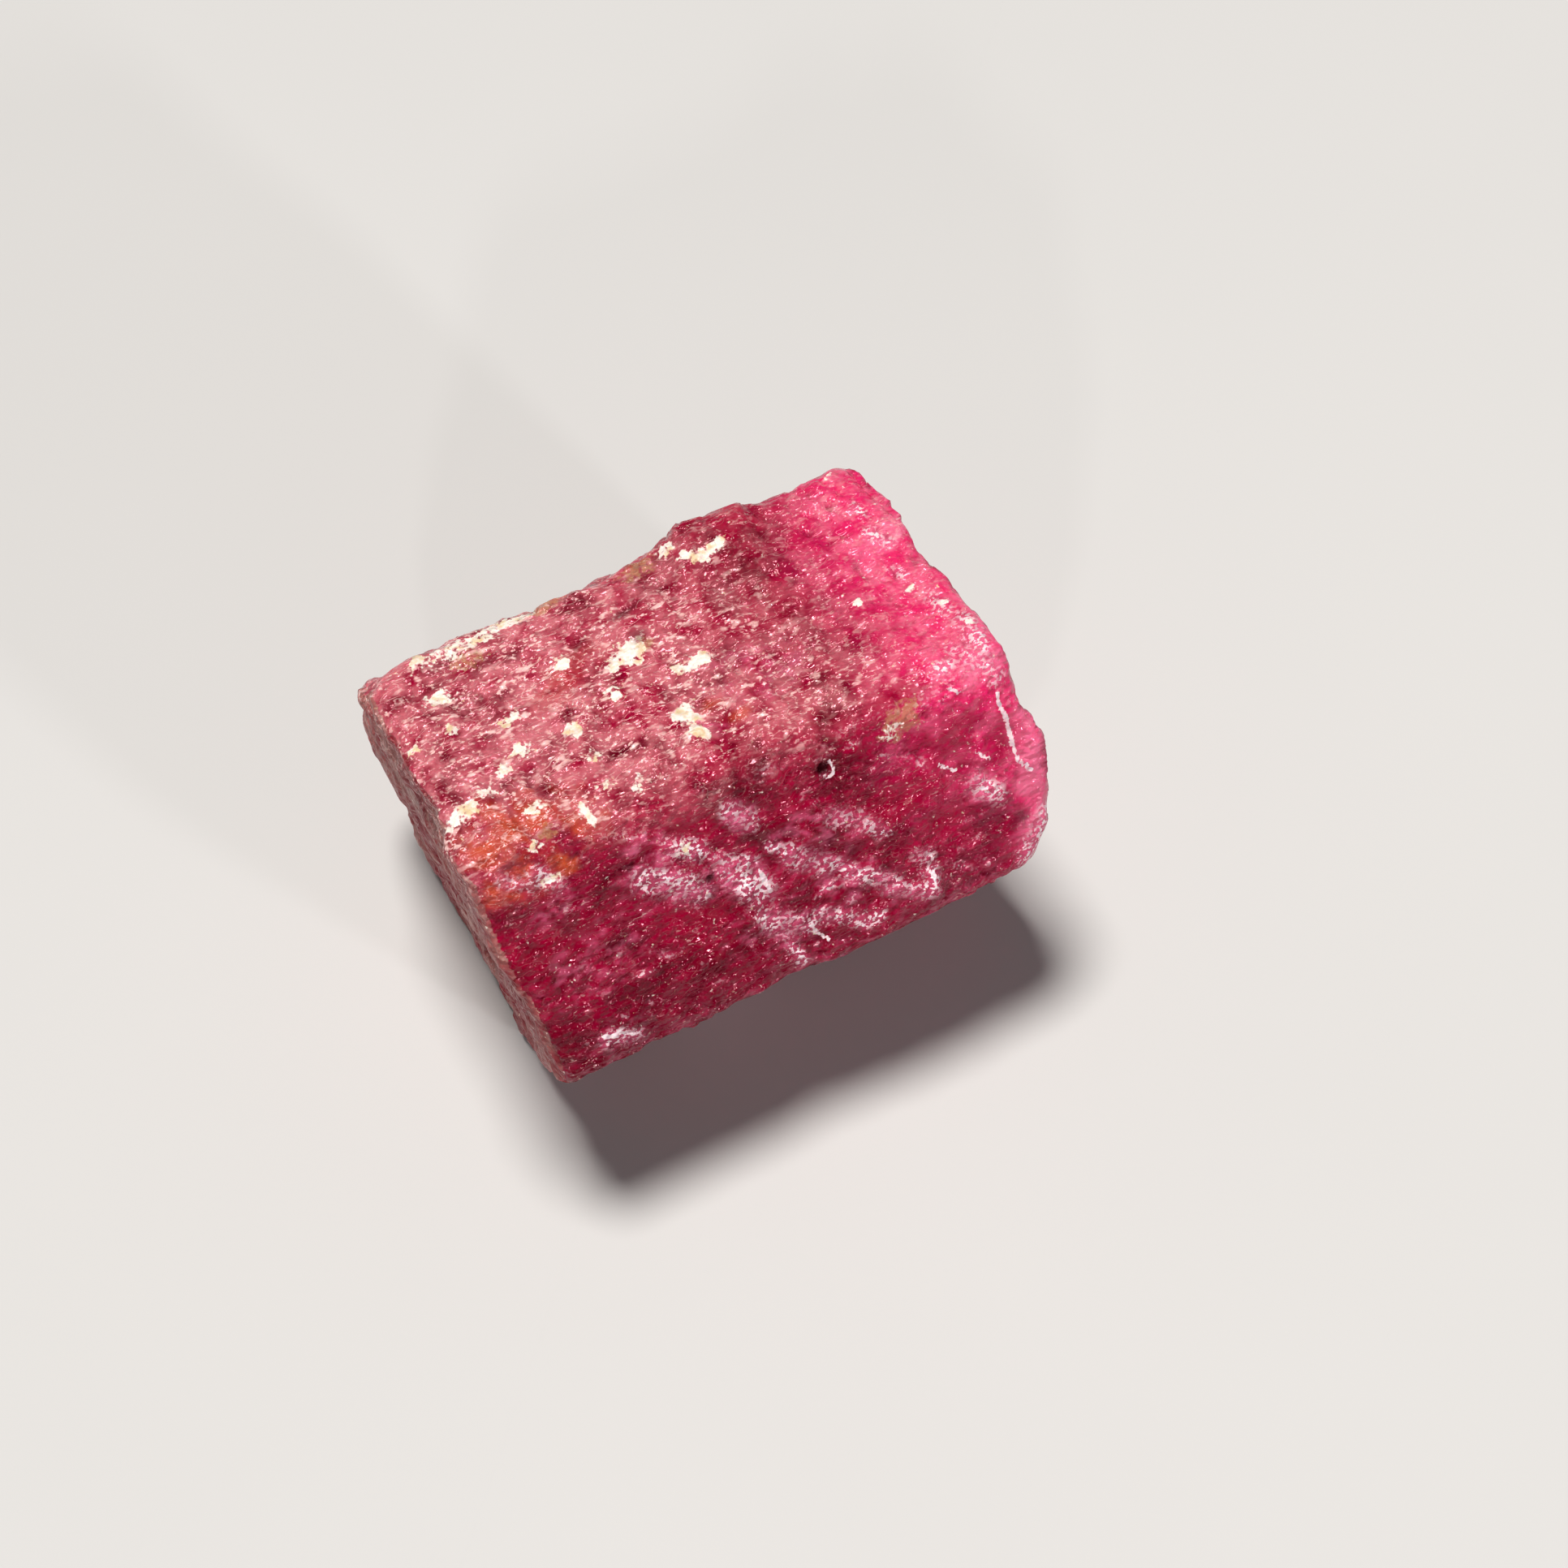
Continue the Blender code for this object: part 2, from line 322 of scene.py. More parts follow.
class NodeSheet:
    """Adds nodes to a material's or a group's tree and joins them."""

    def __init__(self, tree: bpy.types.NodeTree) -> None:
        """Works on this tree."""
        self.tree = tree

    def add(self, kind: str, **settings: object) -> bpy.types.Node:
        """Adds a node and sets its properties.

        Args:
            kind: The node's type.
            settings: Its properties by name.

        Returns:
            The node.
        """
        node = self.tree.nodes.new(kind)
        for name, value in settings.items():
            setattr(node, name, value)
        return node

    def join(self, source: object, socket: bpy.types.NodeSocket) -> None:
        """Feeds a socket from an output, or sets it to a value.

        Args:
            source: The output, or the value.
            socket: The socket.
        """
        if isinstance(source, bpy.types.NodeSocket):
            self.tree.links.new(source, socket)
        else:
            socket.default_value = source

    def math(self, kind: str, first: object, second: object = 0.0) -> bpy.types.NodeSocket:
        """Adds a sum on one or two values.

        Args:
            kind: Which sum.
            first: The first value or output.
            second: The second value or output.

        Returns:
            The result's socket.
        """
        node = self.add("ShaderNodeMath", operation=kind)
        self.join(first, node.inputs[0])
        self.join(second, node.inputs[1])
        return node.outputs[0]

    def scaled(self, value: object, factor: object, base: object) -> bpy.types.NodeSocket:
        """Adds a product and a sum.

        Args:
            value: The value or output.
            factor: What it is multiplied by.
            base: What is added to the product.

        Returns:
            The result's socket.
        """
        node = self.add("ShaderNodeMath", operation="MULTIPLY_ADD")
        for source, socket in zip((value, factor, base), node.inputs):
            self.join(source, socket)
        return node.outputs[0]

    def vector(self, kind: str, first: object, second: object) -> bpy.types.Node:
        """Adds a sum on two vectors.

        Args:
            kind: Which sum.
            first: The first vector or output.
            second: The second vector or output.

        Returns:
            The node, with a vector and a value as outputs.
        """
        node = self.add("ShaderNodeVectorMath", operation=kind)
        self.join(first, node.inputs[0])
        self.join(second, node.inputs[1])
        return node

    def noise(self, place: object, scale: object, detail: float) -> bpy.types.NodeSocket:
        """Adds cloudy noise.

        Args:
            place: The point that it is read at.
            scale: How often it repeats in a metre.
            detail: How many finer layers it has.

        Returns:
            A value from 0 to 1.
        """
        node = self.add("ShaderNodeTexNoise")
        self.join(place, node.inputs["Vector"])
        self.join(scale, node.inputs["Scale"])
        node.inputs["Detail"].default_value = detail
        return node.outputs[0]

    def ramp(self, value: object, start: object, end: object) -> bpy.types.NodeSocket:
        """Adds a soft change from 0 to 1.

        Args:
            value: What it follows.
            start: Where it is 0.
            end: Where it is 1.

        Returns:
            The result's socket.
        """
        node = self.add("ShaderNodeMapRange", interpolation_type="SMOOTHSTEP")
        self.join(value, node.inputs["Value"])
        self.join(start, node.inputs["From Min"])
        self.join(end, node.inputs["From Max"])
        return node.outputs["Result"]

    def clouded(self, place: object, cloud: Cloud) -> bpy.types.NodeSocket:
        """Adds cloudy noise and its soft change from 0 to 1."""
        noisy = self.noise(place, cloud.per_metre, cloud.detail)
        return self.ramp(noisy, cloud.start, cloud.end)

    def blend(self, share: object, first: object, second: object) -> bpy.types.NodeSocket:
        """Adds a colour between two others.

        Args:
            share: 0 for the first colour and 1 for the second.
            first: The first colour.
            second: The second colour.

        Returns:
            The colour's socket.
        """
        node = self.add("ShaderNodeMix", data_type="RGBA")
        self.join(share, node.inputs[0])
        self.join(first, node.inputs[6])
        self.join(second, node.inputs[7])
        return node.outputs[2]

    def coated(self, body: object, *coats: tuple[object, object, object]) -> bpy.types.NodeSocket:
        """Lays coats of colour over a body, each over those before it.

        Args:
            body: The body's colour.
            coats: For each coat its colour, where it lies, and how much it covers there.

        Returns:
            The colour's socket.
        """
        for tint, mask, cover in coats:
            body = self.blend(self.math("MULTIPLY", mask, cover), body, tint)
        return body

    def painted(self, layer: Layer) -> bpy.types.NodeSocket:
        """What is painted on the surface in one layer."""
        return self.add("ShaderNodeAttribute", attribute_name=layer.value).outputs["Fac"]

    def placed(self, group: bpy.types.NodeTree, **values: object) -> bpy.types.Node:
        """Places a group and feeds its inputs.

        Args:
            group: The group.
            values: Its inputs by name, with _ for a space.

        Returns:
            The group's node.
        """
        node = self.add("ShaderNodeGroup", node_tree=group)
        for name, value in values.items():
            self.join(value, node.inputs[name.replace("_", " ")])
        return node


@dataclass(frozen=True)
class Mark:
    """An oval of something on the surface, where the picture shows it.

    The place is in pixels of the 1932-pixel picture, and the sizes are real ones.
    """

    layer: Layer
    across: float
    down: float
    length: float
    width: float
    turn: float = 0.0
    strength: float = 1.0
    softness: float = 0.5
    height: float = 0.0
    frayed: float = 0.35
    ringed: bool = False


@dataclass(frozen=True)
class Streak:
    """A thin line on the surface between two spots of the picture."""

    start: tuple[float, float]
    end: tuple[float, float]
    width: float = 0.16 * MM
    strength: float = 1.0
    layer: Layer = Layer.VEIN_AND_GLINT
    height: float = 0.035 * MM


def sugar(start: tuple[float, float], end: tuple[float, float], width: float) -> Streak:
    """A band of tiny crushed crystals along a ledge, painted pale, partly as painted glints."""
    return Streak(start, end, width * MM, 1.0, Layer.WORN_AND_GLINT, 0.02 * MM)


def grain(across: float, down: float, length: float, width: float, turn: float = 0.0,
          strength: float = 1.0) -> Mark:
    """A pale foreign grain that stands a little proud."""
    return Mark(Layer.CREAM, across, down, length * MM, width * MM, turn, strength,
                softness=0.6, height=0.035 * MM, frayed=0.6)


def zone(layer: Layer, across: float, down: float, length: float, width: float,
         strength: float, turn: float = 0.0) -> Mark:
    """A wide area of another colour with a soft edge."""
    return Mark(layer, across, down, length * MM, width * MM, turn, strength,
                softness=0.6, frayed=0.45)


def pit(across: float, down: float, width: float, depth: float, strength: float,
        ringed: bool = False) -> Mark:
    """A small dark round pit (partly painted shade), with or without a raised rim and painted
    highlight.
    """
    return Mark(Layer.DARK, across, down, width * MM, width * MM, 0.0, strength,
                softness=0.35, height=-depth * MM, frayed=0.10, ringed=ringed)


# Places are in the picture's pixels. Lengths and widths are in millimetres.
MARKS: tuple[Mark, ...] = (
    grain(775, 804, 1.00, 0.70, 10),
    grain(758, 822, 0.50, 0.34, 60),
    grain(862, 813, 0.70, 0.42, 20),
    grain(842, 822, 0.50, 0.32, -20),
    grain(848, 882, 0.80, 0.50, -35),
    grain(862, 902, 0.70, 0.42, -40),
    grain(844, 872, 0.45, 0.36, 40),
    grain(539, 861, 0.66, 0.50, 15, 0.85),
    grain(706, 897, 0.56, 0.42, 50),
    grain(873, 679, 1.20, 0.36, 8, 0.95),
    grain(845, 684, 0.50, 0.32, 8, 0.85),
    grain(819, 676, 0.70, 0.42, 10, 0.75),
    grain(692, 816, 0.44, 0.36, 0, 0.85),
    grain(626, 888, 0.66, 0.34, 10, 0.75),
    grain(554, 899, 0.36, 0.30, 0, 0.75),
    grain(510, 924, 0.40, 0.32, 0, 0.7),
    grain(642, 922, 0.50, 0.40, -20, 0.8),
    grain(619, 948, 0.44, 0.36, 0, 0.8),
    grain(575, 997, 0.60, 0.48, 0, 0.8),
    grain(560, 1009, 0.56, 0.42, 30, 0.9),
    grain(598, 975, 0.50, 0.32, -30, 0.8),
    grain(657, 997, 0.60, 0.34, 15, 0.75),
    grain(660, 1040, 0.54, 0.36, 10, 0.7),
    grain(754, 854, 0.56, 0.42, 30, 0.7),
    grain(513, 811, 0.44, 0.30, 30, 0.9),
    grain(787, 966, 0.46, 0.36, 30, 0.65),
    grain(745, 966, 0.60, 0.24, 10, 0.7),
    grain(733, 930, 0.50, 0.36, 20, 0.6),
    grain(678, 1084, 0.60, 0.40, 0, 0.65),
    grain(843, 1045, 0.44, 0.36, 20, 0.65),
    grain(1057, 742, 0.34, 0.28, 0, 0.7),
    grain(1100, 902, 0.56, 0.42, 30, 0.6),
    grain(1194, 765, 0.34, 0.28, 0, 0.75),
    grain(1018, 587, 0.46, 0.24, 30, 0.60),
    grain(1122, 724, 0.40, 0.24, 20, 0.62),
    grain(1164, 742, 0.34, 0.24, 0, 0.62),
    zone(Layer.STAIN, 640, 1040, 4.8, 2.2, 0.8, 8),
    zone(Layer.STAIN, 585, 1035, 1.4, 1.1, 0.9),
    zone(Layer.STAIN, 702, 1056, 0.9, 0.9, 1.0),
    zone(Layer.STAIN, 700, 830, 2.4, 0.9, 0.25, 20),
    zone(Layer.STAIN, 905, 885, 1.0, 0.35, 0.6, 10),
    zone(Layer.STAIN, 875, 870, 0.7, 0.4, 0.6, 10),
    zone(Layer.OLIVE, 792, 796, 0.7, 0.5, 0.9, 20),
    zone(Layer.OLIVE, 785, 700, 1.3, 0.7, 0.7, 10),
    zone(Layer.OLIVE, 668, 748, 1.1, 0.5, 0.85, 10),
    zone(Layer.OLIVE, 1114, 888, 1.1, 0.9, 0.8, 40),
    zone(Layer.OLIVE, 752, 855, 0.9, 0.6, 0.6, 30),
    zone(Layer.OLIVE, 672, 1028, 0.7, 0.4, 0.8, 10),
    zone(Layer.OLIVE, 578, 810, 1.2, 0.8, 0.6, 10),
    zone(Layer.CREAM, 610, 772, 3.2, 0.6, 0.72, 12),
    zone(Layer.CREAM, 550, 800, 1.8, 0.5, 0.60, 12),
    zone(Layer.HAZE, 797, 1050, 1.0, 1.2, 1.0, 70),
    zone(Layer.HAZE, 962, 1150, 2.4, 1.5, 0.8, -20),
    zone(Layer.HAZE, 1000, 1030, 3.0, 1.2, 0.7, -30),
    zone(Layer.HAZE, 880, 1085, 4.2, 1.4, 0.75, -25),
    zone(Layer.HAZE, 1040, 1080, 2.8, 1.2, 0.7, -25),
    zone(Layer.HAZE, 1130, 1092, 2.2, 0.8, 0.7, 0),
    zone(Layer.HAZE, 730, 1190, 3.8, 1.8, 0.55, 20),
    zone(Layer.HAZE, 690, 1125, 1.6, 0.8, 0.60, 10),
    zone(Layer.HAZE, 1274, 940, 3.4, 1.1, 0.9, 80),
    zone(Layer.HAZE, 1290, 1010, 2.6, 1.0, 1.0, 70),
    zone(Layer.HAZE, 760, 1277, 1.8, 0.8, 0.7, 15),
    zone(Layer.HAZE, 873, 897, 0.8, 0.7, 0.9),
    zone(Layer.HAZE, 913, 1010, 0.9, 0.7, 1.0),
    zone(Layer.HAZE, 1216, 974, 1.0, 0.8, 1.0),
    zone(Layer.HAZE, 1275, 1030, 2.0, 1.2, 0.9, 60),
    zone(Layer.HAZE, 940, 820, 2.4, 1.6, 0.50),
    zone(Layer.HAZE, 1205, 820, 1.4, 0.6, 0.8, 10),
    zone(Layer.HAZE, 1272, 905, 2.4, 1.2, 0.7, 80),
    zone(Layer.HAZE, 1163, 818, 0.9, 0.6, 0.8, 10),
    zone(Layer.HAZE, 1085, 665, 2.2, 0.7, 0.7, 20),
    zone(Layer.HAZE, 1205, 790, 2.6, 0.6, 0.8, 50),
    zone(Layer.DEEP, 1110, 985, 3.2, 1.3, 0.9, 0),
    zone(Layer.DEEP, 1166, 912, 2.2, 1.5, 0.9, 20),
    zone(Layer.DEEP, 1110, 858, 2.0, 0.8, 0.9, 10),
    zone(Layer.DEEP, 1240, 910, 0.9, 1.6, 0.8, 0),
    zone(Layer.DEEP, 1160, 1008, 1.8, 0.8, 0.8, 0),
    zone(Layer.DEEP, 690, 1160, 3.2, 1.6, 0.7, 10),
    zone(Layer.DEEP, 860, 1130, 2.2, 0.8, 0.9, -10),
    zone(Layer.DEEP, 880, 1165, 1.6, 0.7, 0.8, -20),
    zone(Layer.DEEP, 925, 1195, 1.2, 0.4, 0.9, 0),
    zone(Layer.DEEP, 1016, 1138, 0.6, 0.45, 1.0, 0),
    zone(Layer.DEEP, 1092, 1106, 0.9, 0.6, 1.0, -30),
    zone(Layer.DEEP, 1070, 1130, 1.6, 0.5, 0.7, 10),
    zone(Layer.DEEP, 860, 1020, 2.6, 0.9, 0.7, 0),
    zone(Layer.DEEP, 960, 1000, 1.6, 0.8, 0.7, -10),
    # Pits, dark inside partly as painted shade; the first has a rim with a painted highlight.
    pit(1015, 949, 0.34, 0.18, 0.95, True),
    pit(1051, 938, 0.42, 0.04, 0.35),
    pit(932, 918, 0.28, 0.08, 0.40),
    pit(876, 1084, 0.26, 0.12, 0.85),
    pit(977, 714, 0.26, 0.07, 0.35),
    # Darker patches along the top left edge, in the shade layer.
    zone(Layer.LOW, 560, 806, 2.0, 0.34, 0.9, 10),
    zone(Layer.LOW, 596, 818, 0.9, 0.46, 1.0, 10),
    zone(Layer.LOW, 630, 807, 0.8, 0.40, 0.9, 20),
    zone(Layer.LOW, 534, 846, 0.8, 0.34, 0.9, 10),
    zone(Layer.LOW, 490, 864, 1.0, 0.44, 0.9, 0),
    zone(Layer.LOW, 612, 866, 1.0, 0.36, 0.7, 40),
    zone(Layer.DARK, 785, 783, 0.50, 0.40, 0.55),
    zone(Layer.DARK, 768, 754, 0.9, 0.25, 0.7, 15),
    zone(Layer.DARK, 655, 752, 0.4, 0.3, 0.6),
    zone(Layer.DARK, 1256, 1010, 0.7, 0.4, 0.6, 30),
)

# White lines, and bands of crushed crystals along the ledges and the worn edges; their pale paint
# is partly painted glints.
STREAKS: tuple[Streak, ...] = (
    Streak((997, 1136), (1008, 1150), 0.13 * MM), Streak((1008, 1150), (1022, 1158), 0.13 * MM),
    Streak((936, 1074), (950, 1098)), Streak((1150, 1075), (1152, 1092)),
    Streak((1229, 854), (1232, 870)), Streak((1232, 870), (1240, 884)),
    Streak((1240, 884), (1246, 912)), Streak((1246, 912), (1254, 936)),
    Streak((1254, 936), (1270, 948)), Streak((1203, 928), (1220, 935), strength=0.9),
    Streak((1158, 943), (1176, 949), strength=0.9), Streak((1171, 849), (1183, 854)),
    Streak((745, 1278), (780, 1272)),
    sugar((948, 1045), (967, 1047), 0.24), sugar((955, 1132), (968, 1146), 0.60),
    sugar((940, 1130), (1000, 1140), 0.40), sugar((1012, 1127), (1062, 1132), 0.40),
    sugar((1095, 1095), (1150, 1097), 0.40), sugar((1150, 1075), (1151, 1097), 0.34),
    sugar((1070, 1075), (1107, 1095), 0.40), sugar((1025, 1005), (1060, 1010), 0.40),
    sugar((1060, 1010), (1090, 1025), 0.36), sugar((800, 1084), (860, 1100), 0.70),
    sugar((895, 1070), (940, 1100), 0.70), sugar((975, 1055), (1015, 1065), 0.50),
    sugar((1015, 1062), (1065, 1078), 0.40), sugar((880, 1060), (930, 1062), 0.30),
    sugar((1130, 1053), (1146, 1055), 0.36), sugar((1192, 812), (1216, 820), 0.40),
    sugar((1170, 815), (1158, 822), 0.34), sugar((620, 1090), (655, 1092), 0.30),
    sugar((660, 1078), (690, 1092), 0.40), sugar((900, 1000), (925, 1012), 0.50),
    sugar((1205, 965), (1228, 980), 0.50), sugar((825, 1045), (860, 1050), 0.50),
    sugar((750, 1280), (782, 1276), 0.44), sugar((975, 1165), (990, 1185), 0.30),
    sugar((1062, 1140), (1085, 1128), 0.30), sugar((1290, 1005), (1268, 1052), 0.60),
    sugar((1186, 762), (1206, 786), 0.46), sugar((1206, 786), (1230, 838), 0.40),
    sugar((1150, 738), (1166, 748), 0.34), sugar((1072, 655), (1092, 668), 0.34),
    sugar((1100, 700), (1112, 706), 0.26), sugar((1052, 622), (1066, 634), 0.26),
    sugar((1172, 800), (1190, 806), 0.30),
    Streak((715, 993), (730, 1011), 0.22 * MM, 1.0, Layer.CREAM),
)


@dataclass
class CrystalSurface:
    """The crystal's whole visible surface, as one closed mesh."""

    camera: PictureCamera
    square: float = 0.108 * MM
    smoothing_rounds: int = 2
    resting_fade: float = 0.5 * MM
    coarse_grain: float = 0.050 * MM
    fine_grain: float = 0.050 * MM
    splinter_size: float = 0.55 * MM
    splinter_height: float = 0.055 * MM
    step_spacing: float = 0.56 * MM
    step_height: float = 0.085 * MM
    parting_spacing: float = 0.46 * MM
    parting_height: float = 0.030 * MM
    terrace_height: float = 0.140 * MM
    wear_rounds: int = 14
    chip_depth: float = 0.16 * MM
    rim_height: float = 0.05 * MM
    highlit_rim_side: tuple[float, float, float] = (0.9, -0.4, 0.0)
    sinking: float = 0.03 * MM
    marks: tuple[Mark, ...] = MARKS
    streaks: tuple[Streak, ...] = STREAKS
    layers: dict[Layer, np.ndarray] = field(default_factory=dict)

    def merged_copy(self, node: bpy.types.Object) -> bmesh.types.BMesh:
        """A copy of the solid's mesh with its loose triangles joined.

        Args:
            node: The crystal's solid, which stays as it is.

        Returns:
            The copy.
        """
        bm = bmesh.new()
        bm.from_mesh(node.data)
        bmesh.ops.remove_doubles(bm, verts=bm.verts[:], dist=0.0001 * MM)
        return bm

    def smooth(self, bm: bmesh.types.BMesh, rounds: int) -> None:
        """Evens out the smallest bumps.

        Args:
            bm: The surface.
            rounds: How many times each point moves halfway to its neighbours' middle.
        """
        for _ in range(rounds):
            bmesh.ops.smooth_vert(bm, verts=bm.verts[:], factor=0.5,
                                  use_axis_x=True, use_axis_y=True, use_axis_z=True)

    def evened(self, bm: bmesh.types.BMesh) -> bmesh.types.BMesh:
        """The same shape with its surface in small even squares.

        Args:
            bm: The shape, which is freed.

        Returns:
            A new bmesh, lightly smoothed.
        """
        mesh = bpy.data.meshes.new("merged_solid")
        bm.to_mesh(mesh)
        bm.free()
        holder = bpy.data.objects.new("merged_solid", mesh)
        bpy.context.scene.collection.objects.link(holder)
        remesh = holder.modifiers.new("even", "REMESH")
        remesh.mode = "VOXEL"
        remesh.voxel_size = self.square
        graph = bpy.context.evaluated_depsgraph_get()
        squares = bpy.data.meshes.new_from_object(holder.evaluated_get(graph))
        bpy.data.objects.remove(holder)
        bpy.data.meshes.remove(mesh)
        even = bmesh.new()
        even.from_mesh(squares)
        bpy.data.meshes.remove(squares)
        self.smooth(even, self.smoothing_rounds)
        even.normal_update()
        return even

    def splinters(self, points: np.ndarray) -> np.ndarray:
        """Small flat breaks, each tilted its own way and longest along X.

        Args:
            points: The surface's points.

        Returns:
            A height from about -1 to 1 for each point.
        """
        stretched = points / (np.array((1.7, 1.0, 1.0)) * self.splinter_size)
        heights = np.empty(len(points))
        for index, place in enumerate(map(Vector, stretched.tolist())):
            middle = noise.voronoi(place)[1][0]
            lean = 2 * noise.cell_vector(middle * 9.1) - Vector((1.0, 1.0, 1.0))
            heights[index] = (place - middle).dot(lean)
        return heights

    def steps(self, points: np.ndarray) -> np.ndarray:
        """Small parting steps that cross the faces at a slant, in patches.

        Args:
            points: The surface's points.

        Returns:
            A height from -0.5 to 0.5 for each point.
        """
        across = points @ np.array((0.80, 0.30, 0.52))
        bend = noise_at(points, (1.4 * MM, 1.4 * MM, 1.4 * MM), 11.3)
        along = across / self.step_spacing + 0.9 * bend
        rise = along - np.floor(along)
        saw = np.where(rise > 0.82, (1.0 - rise) * 0.82 / 0.18, rise)
        patch = noise_at(points, (2.3 * MM, 2.3 * MM, 2.3 * MM), 3.7)
        return (saw - 0.5) * smooth_step(patch, -0.15, 0.25)

    def parting_lines(self, points: np.ndarray) -> np.ndarray:
        """Fine lines on the ends, which run along the prism faces in patches.

        Args:
            points: The surface's points.

        Returns:
            A height from -0.5 to 0.5 for each point.
        """
        patch = noise_at(points, (1.6 * MM, 1.6 * MM, 1.6 * MM), 8.1)
        heights = np.zeros(len(points))
        for turn, middle in ((0.0, -0.35), (60.0, 0.0), (-60.0, 0.35)):
            slant = math.radians(turn)
            across = points @ np.array((0.0, math.sin(slant), math.cos(slant)))
            along = across / self.parting_spacing + 0.35 * patch
            rise = np.abs(along - np.floor(along) - 0.5) * 2.0
            heights += (rise - 0.5) * smooth_step(np.abs(patch - middle), 0.30, 0.10)
        return heights

    def terraces(self, points: np.ndarray) -> tuple[np.ndarray, np.ndarray]:
        """Flat terraces on the ends, with short steep steps between them.

        Args:
            points: The surface's points.

        Returns:
            A height from about -1 to 1 for each point, and 1 along the steps.
        """
        level = 3.4 * noise_at(points, (5.0 * MM, 3.2 * MM, 3.2 * MM), 14.6)
        level += 0.5 * noise_at(points, (0.8 * MM, 0.8 * MM, 0.8 * MM), 6.6)
        floor = np.floor(level)
        rise = level - floor
        height = 0.5 * (floor + smooth_step(rise, 0.0, 0.16))
        return height, smooth_step(np.abs(rise - 0.14), 0.16, 0.05)

    def worn_points(self, bm: bmesh.types.BMesh, points: np.ndarray,
                    normals: np.ndarray) -> np.ndarray:
        """The surface's points with its edges rounded and chipped unevenly.

        Args:
            bm: The evened surface.
            points: Its points.
            normals: Their normals.

        Returns:
            The moved points.
        """
        soft = bm.copy()
        self.smooth(soft, self.wear_rounds)
        sunk = np.array([vert.co[:] for vert in soft.verts]) - points
        soft.free()
        edge = smooth_step(-np.einsum("ij,ij->i", sunk, normals), 0.02 * MM, 0.09 * MM)
        wear = smooth_step(noise_at(points, (2.0 * MM, 1.4 * MM, 1.4 * MM), 17.2), -0.35, 0.45)
        chip = smooth_step(noise_at(points, (0.9 * MM, 0.7 * MM, 0.7 * MM), 19.9), 0.10, 0.55)
        chip *= smooth_step(points[:, 0], 6.6 * MM, 5.2 * MM)
        return points + sunk * (0.35 + 0.65 * wear)[:, None] - normals * (
            self.chip_depth * chip * edge)[:, None]

    def scattered(self, points: np.ndarray, spacing: float, chance: float,
                  radius: float) -> np.ndarray:
        """Separate small spots, strewn over the surface.

        Args:
            points: The surface's points.
            spacing: About how far apart the places are.
            chance: Which share of the places holds a spot.
            radius: How large a middling spot is.

        Returns:
            1 inside a spot, 0 outside, with a soft change between them.
        """
        reach = np.full(len(points), 9.0)
        for index, place in enumerate(map(Vector, (points / spacing).tolist())):
            distances, middles = noise.voronoi(place)
            pick = noise.cell_vector(middles[0] * 7.3)
            if pick.x < chance:
                reach[index] = distances[0] * spacing / (radius * (0.5 + pick.y))
        frayed = noise_at(points, (0.42 * MM, 0.26 * MM, 0.26 * MM), 27.4)
        return smooth_step(reach + 0.7 * frayed, 1.3, 0.7)

    def hit(self, tree: BVHTree, across: float, down: float) -> tuple[Vector, Vector] | None:
        """The point and the normal at one spot of the picture."""
        place, normal, _, _ = tree.ray_cast(self.camera.place(), self.camera.sight(across, down))
        return None if place is None else (place, normal)

    def mark_reach(self, points: np.ndarray, mark: Mark, place: Vector,
                   normal: Vector) -> np.ndarray:
        """How far each point is from a mark's middle, with 1 on the mark's edge.

        Args:
            points: The surface's points.
            mark: The mark.
            place: Its middle.
            normal: The surface's normal there.

        Returns:
            One value for each point.
        """
        along = Vector((1.0, 0.0, 0.0))
        along = (along - normal * along.dot(normal)).normalized()
        side = normal.cross(along)
        turn = math.radians(mark.turn)
        first = along * math.cos(turn) + side * math.sin(turn)
        second = side * math.cos(turn) - along * math.sin(turn)
        offset = points - np.array(place)
        return np.sqrt(
            (offset @ np.array(first) / (mark.length / 2)) ** 2
            + (offset @ np.array(second) / (mark.width / 2)) ** 2
            + (offset @ np.array(normal) / (max(mark.width, 0.8 * MM) / 2)) ** 2
        )

    def streak_reach(self, points: np.ndarray, start: Vector, end: Vector) -> np.ndarray:
        """How far each point is from a straight line.

        Args:
            points: The surface's points.
            start: Where the line starts.
            end: Where it ends.

        Returns:
            A distance in metres for each point.
        """
        line = np.array(end - start)
        offset = points - np.array(start)
        share = np.clip(offset @ line / (line @ line), 0.0, 1.0)
        return np.linalg.norm(offset - share[:, None] * line, axis=1)

    def paint(self, layer: Layer, share: np.ndarray) -> None:
        """Paints a layer wherever the new share is the higher one."""
        np.maximum(self.layers[layer], share, out=self.layers[layer])

    def paint_marks(self, points: np.ndarray, tree: BVHTree) -> np.ndarray:
        """Paints every mark and streak into its layer.

        Args:
            points: The surface's points.
            tree: The surface, for finding where a mark lies.

        Returns:
            The height that the marks add at each point.
        """
        heights = np.zeros(len(points))
        fine = noise_at(points, (0.30 * MM, 0.22 * MM, 0.22 * MM), 21.7)
        broad = noise_at(points, (1.5 * MM, 1.1 * MM, 1.1 * MM), 5.2)
        for mark in self.marks:
            found = self.hit(tree, mark.across, mark.down)
            if found is None:
                log.warning("no surface under the mark at %s, %s", mark.across, mark.down)
                continue
            frayed = fine + (broad if mark.width > 0.8 * MM else 0.0)
            reach = self.mark_reach(points, mark, *found) + mark.frayed * frayed
            share = smooth_step(reach, 1.0 + mark.softness, 1.0 - mark.softness)
            self.paint(mark.layer, share * mark.strength)
            heights += mark.height * share
            if mark.ringed:
                ring = smooth_step(np.abs(reach - 1.6), 0.6, 0.1)
                heights += self.rim_height * ring
